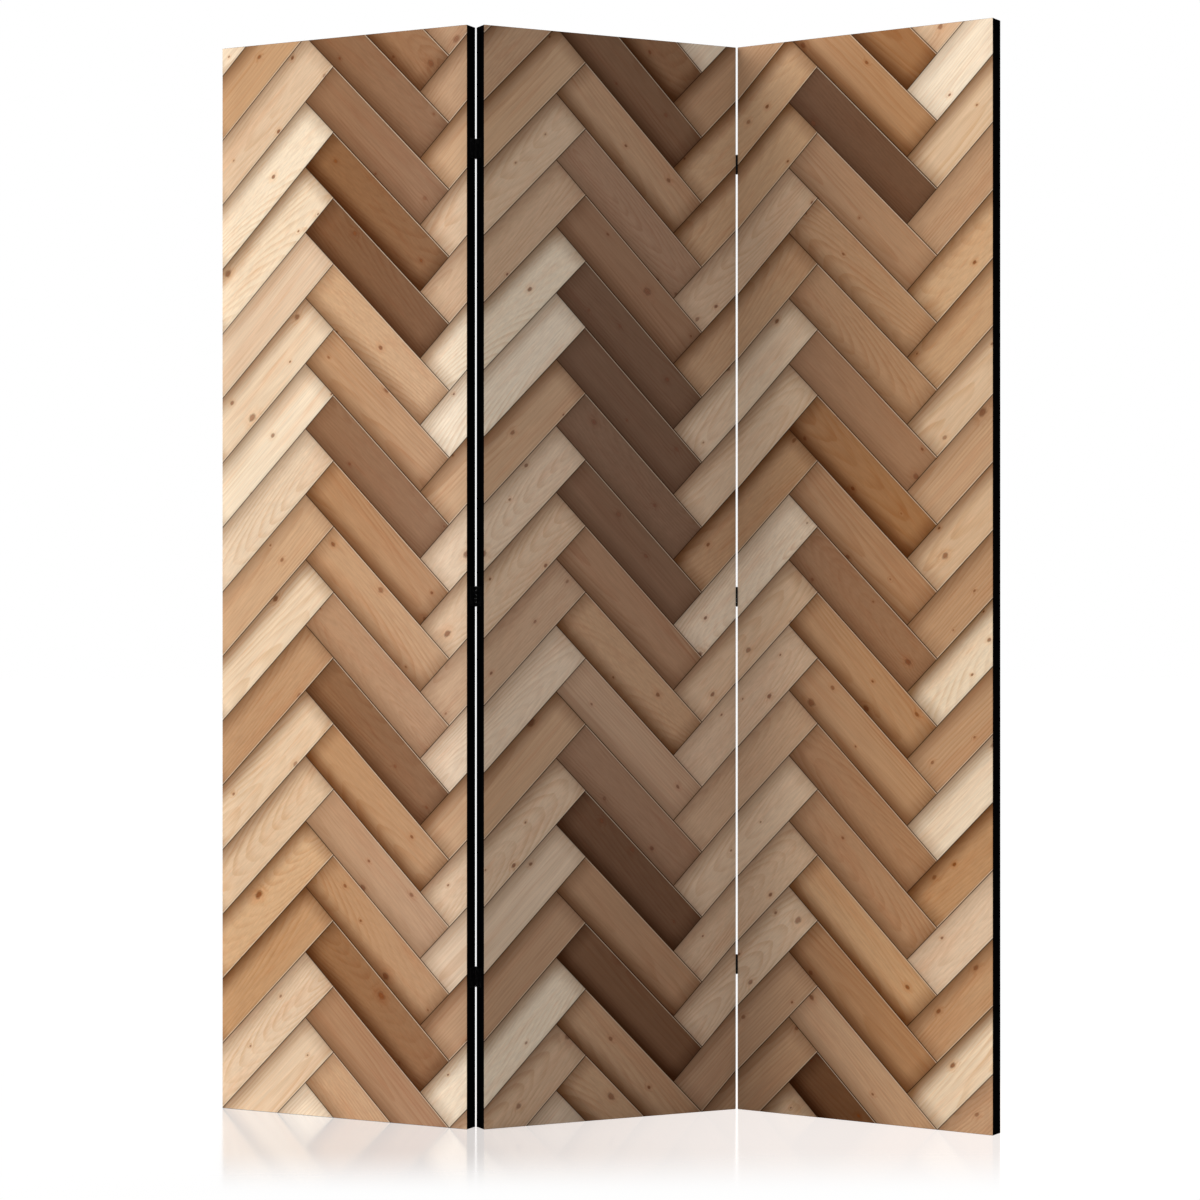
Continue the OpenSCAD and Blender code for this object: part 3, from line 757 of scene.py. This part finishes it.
def unfold(cloth, panel):
    """Gives the cloth its two UV maps, the print's and the cut's."""
    mesh = cloth.data
    while mesh.uv_layers:
        mesh.uv_layers.remove(mesh.uv_layers[0])
    for name, shift in (("print", BEFORE[panel] * WIDTH), ("cut", 0)):
        layer = mesh.uv_layers.new(name=name)
        for face in mesh.polygons:
            side, on_hem = side_of(face), in_hem(face)
            for loop in face.loop_indices:
                point = mesh.vertices[mesh.loops[loop].vertex_index].co
                p, q = cut_point(side, point, on_hem)
                layer.data[loop].uv = (p + shift, q)


unfold(trial, "left")
across_cut = [loop.uv.x for loop in trial.data.uv_layers["cut"].data]
print("unfolds to a width of", round(max(across_cut) - min(across_cut), 3), "m")

# %% [markdown]
# ## Slack
# Even a tight canvas isn't a flat plate. It rests on the lip of the bars only, so it sinks
# by a hair towards the middle, and on the back it lifts a little between the staples that
# hold it, with a cut edge that isn't quite straight. These moves are smaller than a
# millimetre, but light that falls along the cloth shows them. Simulated cloth could make
# them too, but on a tight sheet a few sine waves look the same and take no time.

# %% Slack
SINK = 0.0007
LIFT = 0.0003
STAPLE_END = 0.075
SIDE_STEPS, END_STEPS = 15, 3
CUT_WAVES = ((0.0007, 97, 1), (0.0004, 311, -1))


def between_staples(along, length, steps):
    """0 at each staple of a side and 1 midway between two."""
    pitch = (length - 2 * STAPLE_END) / steps
    return math.sin(math.pi * (along - STAPLE_END) / pitch) ** 2


def slacken(cloth):
    """Sinks the front, lifts the hem between its staples and lets the cut edge wander."""
    for vertex in cloth.data.vertices:
        x, y, z = vertex.co
        if y < NEAR:
            bow = math.sin(math.pi * x / WIDTH) * math.sin(math.pi * z / HEIGHT)
            vertex.co.y += SINK * bow
        on_side = HEM - NEAR < min(x, WIDTH - x) < HEM + NEAR
        on_end = HEM - NEAR < min(z, HEIGHT - z) < HEM + NEAR
        if DEPTH - NEAR < y < DEPTH + NEAR and on_side != on_end:
            staples = (z, HEIGHT, SIDE_STEPS) if on_side else (x, WIDTH, END_STEPS)
            waves = (size * math.sin(rate * (x + way * z)) for size, rate, way in CUT_WAVES)
            stray = sum(waves)
            vertex.co.y += LIFT * between_staples(*staples)
            vertex.co.x += stray * on_side
            vertex.co.z += stray * on_end


slacken(trial)
centre = Vector((WIDTH / 2, 0, HEIGHT / 2))
nearest = min(trial.data.vertices, key=lambda vertex: (vertex.co - centre).length)
print("the front's middle sinks by", round(nearest.co.y * 1000, 2), "mm")

# %% [markdown]
# ## Thickness
# Real cloth has an inside and a cut edge, which a single surface can't show. Solidify gives
# it its half millimetre, inwards, and puts the unprinted finish on the inside and along the
# cut.

# %% Thickness
CLOTH = 0.0005
SMOOTH_BELOW = 40


def only(obj):
    """Selects one object and nothing else."""
    bpy.ops.object.select_all(action="DESELECT")
    obj.select_set(True)
    bpy.context.view_layer.objects.active = obj


def thicken(cloth):
    """Gives the cloth its thickness and its two finishes."""
    only(cloth)
    for material in (canvas_front, canvas_back):
        cloth.data.materials.append(material)
    wall = cloth.modifiers.new("cloth", "SOLIDIFY")
    wall.thickness, wall.offset, wall.use_even_offset = CLOTH, -1, True
    wall.material_offset, wall.material_offset_rim = 1, 1
    bpy.ops.object.modifier_apply(modifier="cloth")
    bpy.ops.object.shade_smooth_by_angle(angle=math.radians(SMOOTH_BELOW))


thicken(trial)
print(len(trial.data.polygons), "faces with both sides")
bpy.data.objects.remove(trial)

# %% [markdown]
# ## The three canvases
# Each one stands for its CAD solid and rides on its own panel. The sheet was cut 55 mm
# larger than the print on every side: 27 mm for the side and 28 mm for the hem.

# %% The three canvases
FRAMES = {
    "left": ("left_outer_stile", "left_hinge_stile"),
    "centre": ("centre_left_stile", "centre_right_stile"),
    "right": ("right_hinge_stile", "right_outer_stile"),
}


def stretched_canvas(panel):
    """A panel's finished canvas, standing in its place in the screen."""
    cloth = canvas_blank(f"{panel}_stretched_canvas")
    round_edges(cloth)
    tuck_corners(cloth)
    unfold(cloth, panel)
    slacken(cloth)
    thicken(cloth)
    cloth.data.transform(PLACES[panel])
    return cloth


for panel in PLACES:
    cloth = stretched_canvas(panel)
    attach(cloth, f"{panel}_panel")
    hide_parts(f"{panel}_canvas")
    print(cloth.name, len(cloth.data.polygons), "faces")

# %% [markdown]
# ## Wood of the frames
# Stretcher bars are planed from pine, with the grain along each bar. The pattern reads the
# piece's own coordinates, turned back by the panel's turn, so one function makes the wood
# of every panel: the stiles have their grain upright and the rails and crossbars have
# theirs across. Each bar gets its own tree, because the heart of the rings moves with the
# bar.

# %% Pine bars
RAW_PINE = [
    (0.0, tone(214, 176, 124)),
    (0.5, tone(228, 194, 145)),
    (1.0, tone(238, 212, 168)),
]
BAR_CELL = 0.3
BAR_SHIFT = 5
BAR_ASIDE, BAR_DEEP, BAR_TILT = (-0.05, 0.05), (0.03, 0.08), (-0.03, 0.03)
RAILS = ("top_rail", "bottom_rail", "upper_crossbar", "lower_crossbar")


def pine_bars(panel, upright):
    """Planed pine for a panel's stiles, or for its rails and crossbars."""
    finish = Finish(f"pine, {panel}, {'upright' if upright else 'across'}")
    turn_back = (0, 0, math.radians(-TURNS[panel]))
    place = finish.node("Mapping", None, {"Vector": finish.place(), "Rotation": turn_back})
    x, y, z = finish.split(place)
    along, side = (z, x) if upright else (x, z)
    bar = (side / BAR_CELL + 0.5).floor()
    first, second, third = finish.chance(finish.vector(bar, 3.0 * upright, BEFORE[panel]))
    heart_side = side - bar * BAR_CELL + first.between(*BAR_ASIDE)
    heart_deep = y + second.between(*BAR_DEEP) + along * third.between(*BAR_TILT)
    grain = pine_grain(finish, along + third * BAR_SHIFT, heart_side, heart_deep)
    late, fibre, *_ = grain
    lightness = first * 0.7 + finish.noise(place, 4) * 0.3
    plain = finish.node("ValToRGB", {"stops": RAW_PINE}, {0: lightness})
    saw = finish.noise(finish.vector(along * 40, side * 900, y * 900))
    return finish.finished({
        "Base Color": pine_colour(finish, plain, grain, 0.8),
        "Roughness": fibre.between(0.55, 0.70),
        "Specular IOR Level": 0.3,
        "Normal": finish.bump(saw + late * 0.8, 0.00012, 0.6),
    })


def paint(node, material):
    """Gives a CAD node its finish."""
    for place in frame["nodes"][node].material_slots:
        place.material = material


for panel, stiles in FRAMES.items():
    upright, across = pine_bars(panel, True), pine_bars(panel, False)
    for stile in stiles:
        paint(stile, upright)
    for rail in RAILS:
        paint(f"{panel}_{rail}", across)
print("pine on", 6 * len(FRAMES), "bars")

# %% [markdown]
# ## Beech keys
# The corner keys are small wedges of beech, which is pinker and harder than pine and is
# full of short dark flecks. A key is too small to show rings, so the peaks of a fine noise
# are enough for the flecks.

# %% Beech keys
BEECH_DIM, BEECH_PALE = tone(190, 142, 100), tone(216, 172, 130)
BEECH_FLECK = tone(142, 92, 58)


def beech():
    """Pink wood with dark flecks."""
    finish = Finish("beech")
    place = finish.place()
    flecks = finish.noise(place, 500, 1).fade(0.60, 0.70)
    pores = finish.noise(place, 260, 3)
    colour = finish.mix(finish.noise(place, 30, 3), BEECH_DIM, BEECH_PALE)
    colour = finish.mix(flecks * 0.45, colour, BEECH_FLECK)
    colour = finish.mix(1.0, colour, pores.between(0.84, 1.14), "MULTIPLY")
    return finish.finished({
        "Base Color": colour,
        "Roughness": pores.between(0.45, 0.65),
        "Specular IOR Level": 0.35,
        "Normal": finish.bump(pores, 0.0001, 0.5),
    })


keys = beech()
for panel in PLACES:
    paint(f"{panel}_corner_keys", keys)
print("beech on", len(PLACES), "sets of keys")

# %% [markdown]
# ## Black steel
# The hinges and their screws are steel with a thin black coat. It rubs off first on the
# edges and round the knuckles, where bare grey metal comes through: comparing the true
# normal with one that is averaged over a small radius finds those edges.

# %% Black steel
RUB = 0.0005
RUB_GAIN = 6
BLACK_COAT, BARE_STEEL = tone(5, 5, 6), tone(112, 110, 108)


def black_coat(name, gloss, wear):
    """Black coated steel. Gloss is its roughness, and wear is how far its edges are bare."""
    finish = Finish(name)
    place = finish.place()
    rounded = finish.node("Bevel", {"samples": 6}, {"Radius": RUB})
    true = finish.node("NewGeometry", output="Normal")
    settings = {"operation": "DOT_PRODUCT"}
    same = finish.node("VectorMath", settings, {0: rounded, 1: true}, "Value")
    patches = finish.noise(place, 350, 3)
    rubbed = ((1 - same) * RUB_GAIN + patches - 0.5).fade(0.55, 0.95) * wear
    return finish.finished({
        "Base Color": finish.mix(rubbed, BLACK_COAT, BARE_STEEL),
        "Metallic": rubbed,
        "Roughness": patches.between(gloss, gloss + 0.2),
        "Specular IOR Level": 0.12,
        "Normal": finish.bump(finish.noise(place, 2600), 0.00002, 0.5),
    })


STEELS = {
    "_leaf": black_coat("black steel", gloss=0.40, wear=0.15),
    "_pin": black_coat("pin steel", gloss=0.32, wear=0.4),
    "_screws": black_coat("black screws", gloss=0.36, wear=0.4),
}
print(len(STEELS), "kinds of black steel")

# %% [markdown]
# ## Staples
# The staples are plain galvanised wire, drawn smooth and stained in places. A node's name
# ends in what it is, so the ending tells which steel it gets.

# %% Staples
ZINC_DIM, ZINC_PALE = tone(150, 152, 155), tone(205, 207, 210)


def wire():
    """Galvanised wire with fine marks from drawing."""
    finish = Finish("galvanised wire")
    place = finish.place()
    drawn = finish.noise(place, 900, 3)
    return finish.finished({
        "Base Color": finish.mix(finish.noise(place, 60), ZINC_DIM, ZINC_PALE),
        "Metallic": 1.0,
        "Roughness": drawn.between(0.28, 0.58),
        "Normal": finish.bump(drawn, 0.00003, 0.5),
    })


STEELS["_staples"] = wire()
for ending, steel in STEELS.items():
    nodes = [node for node in frame["nodes"] if node.endswith(ending)]
    for node in nodes:
        paint(node, steel)
    print(steel.name, "on", len(nodes), "nodes")

# %% [markdown]
# ## Studio floor
# The screen stands on a glossy white floor against white. The floor's own colour is white
# to the camera, so no lamp has to be turned up for it. Just in front of the panels the
# floor mirrors them faintly, more to the left than to the right, and the mirror image fades
# out within half a metre, so the floor is polished in a strip only. To the right the strip
# is also painted a little warm: a painted reflection of the panels' warm colour.

# %% Studio floor
FLOOR_SIDE = 60
POLISH_LEFT, POLISH_RIGHT = 0.42, 0.16
POLISH_FROM, POLISH_TO = -0.50, 0.30
STRIP, STRIP_FADES = 0.24, 0.62
# Painted reflection: the tint that the floor's white takes from the panels' warm colour, more
# towards the right.
PAINTED_REFLECTION_TINT = (1.05, 0.985, 0.95, 1)
WARM_FROM, WARM_TO = -0.70, 0.0
SEEN_WHITE, SEEN_SHARE = 1.03, 0.93


def floor_finish():
    """White to the camera, pale and matt to the lamps, and polished in a strip."""
    finish = Finish("studio floor")
    place = finish.place()
    x, y, _ = finish.split(place)
    strip = y.size().fade(STRIP, STRIP_FADES, 1, 0)
    mirror = strip * x.fade(POLISH_FROM, POLISH_TO, POLISH_LEFT, POLISH_RIGHT)
    seen, *_ = finish.all_of(finish.node("LightPath"))
    pale = finish.noise(place, 2).between(0.80, 0.82)
    matt = finish.node("BsdfDiffuse", None, {"Color": pale})
    # Painted reflection: in the strip the white that the camera sees turns warm towards the
    # right.
    warm = finish.mix(strip * x.fade(WARM_FROM, WARM_TO), WHITE, PAINTED_REFLECTION_TINT)
    white = finish.node("Emission", None, {"Color": warm, "Strength": SEEN_WHITE})
    plain = finish.node("MixShader", None, {0: seen * SEEN_SHARE, 1: matt, 2: white})
    gloss = finish.node("BsdfGlossy", None, {"Color": WHITE, "Roughness": 0.12})
    both = finish.node("MixShader", None, {0: mirror, 1: plain, 2: gloss})
    finish.node("OutputMaterial", None, {"Surface": both})
    return finish.material


bpy.ops.object.select_all(action="DESELECT")
bpy.ops.mesh.primitive_plane_add(size=FLOOR_SIDE)
floor = bpy.context.object
floor.name = "studio_floor"
floor.data.materials.append(floor_finish())
print("floor", round(floor.dimensions.x), "m wide")

# %% [markdown]
# ## Lamps
# In the photograph the left panel is bright, the middle one, which faces away to the right,
# has about half its light, and the right one grows brighter from the joint outwards. A
# broad soft light far to the left does just that. A weaker one from behind keeps the backs
# of the panels readable.

# %% Lamps


def soft_sun(name, strength, bearing, height, spread):
    """A broad far light. Its bearing is counted from straight in front to the left."""
    data = bpy.data.lights.new(name, "SUN")
    data.energy, data.angle = strength, math.radians(spread)
    sun = bpy.data.objects.new(name, data)
    bpy.context.scene.collection.objects.link(sun)
    side, up = math.radians(bearing), math.radians(height)
    level = math.cos(up)
    to_light = Vector((-math.sin(side) * level, -math.cos(side) * level, math.sin(up)))
    sun.rotation_euler = to_light.to_track_quat("Z", "Y").to_euler()
    return sun


key_light = soft_sun("key light", strength=3.7, bearing=90, height=14, spread=44)
back_light = soft_sun("back light", strength=0.9, bearing=200, height=35, spread=60)
print("lamps", [round(lamp.data.energy, 2) for lamp in (key_light, back_light)])

# %% [markdown]
# ## Light from all round
# The world adds an even fill. It is plain white to the camera, in reflections and through
# glass, and gives less than that as light.

# %% Light from all round
FILL = 0.385

world = bpy.data.worlds.new("studio")
bpy.context.scene.world = world
world.use_nodes = True
world.node_tree.nodes.clear()


class Surround(Finish):
    """The world's nodes, written in the same way as a finish."""

    def __init__(self, tree):
        self.tree = tree


around = Surround(world.node_tree)
seen, _, _, mirrored, _, _, through, *_ = around.all_of(around.node("LightPath"))
strength = seen.most(mirrored).most(through).between(FILL, 1)
sky = around.node("Background", None, {"Color": WHITE, "Strength": strength})
around.node("OutputWorld", None, {"Surface": sky})
print("fill", FILL)

# %% [markdown]
# The cloth must stay inside the CAD model's box.
